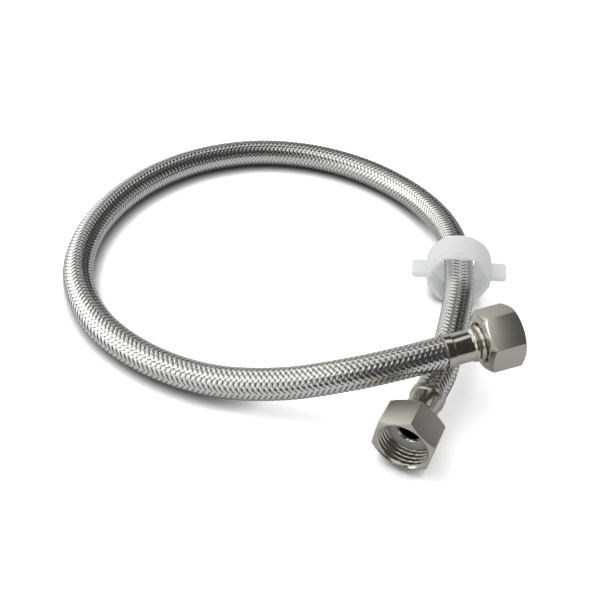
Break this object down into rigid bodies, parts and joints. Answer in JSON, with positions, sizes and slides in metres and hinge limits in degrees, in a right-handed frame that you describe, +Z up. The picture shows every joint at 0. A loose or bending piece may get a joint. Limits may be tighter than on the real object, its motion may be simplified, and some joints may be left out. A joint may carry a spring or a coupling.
{
  "type": "braided flexible hose",
  "caption": "Flexible rubber hose in a braided steel sleeve, lying in a loop, with a swivel hex nut and flat seal at each end and a loose wing sleeve for tightening by hand.",
  "frame": {"origin": "on the surface the hose lies on, below the middle of its box", "axes": "+Z up; end A points along -Y, and the loop lies to its -X side"},
  "size_m": [0.2055, 0.1783, 0.0429],
  "materials": {
    "braid_steel": "bright fine wire",
    "nickel_plate": "nickel plated, polished",
    "tube_rubber": "matte black",
    "seal_rubber": "matte grey",
    "clear_plastic": "translucent white"
  },
  "bodies": {
    "hose": {"inner_tube": "tube_rubber", "braid_sleeve": "braid_steel", "ferrule_a": "nickel_plate", "ferrule_b": "nickel_plate", "nipple_a": "nickel_plate", "nipple_b": "nickel_plate", "seal_washer_a": "seal_rubber", "seal_washer_b": "seal_rubber", "wing_sleeve": "clear_plastic"},
    "nut_a": {"swivel_nut_a": "nickel_plate"},
    "nut_b": {"swivel_nut_b": "nickel_plate"}
  },
  "joints": [
    {"name": "nut_a_spin", "type": "hinge", "parent": "hose", "child": "nut_a", "pos_m": [0.0748, -0.07025, 0.0132], "axis": [0, -1, 0], "continuous": true},
    {"name": "nut_b_spin", "type": "hinge", "parent": "hose", "child": "nut_b", "pos_m": [0.08958, -0.02659, 0.02961], "axis": [0.7289, 0.6703, 0.1392], "continuous": true}
  ]
}
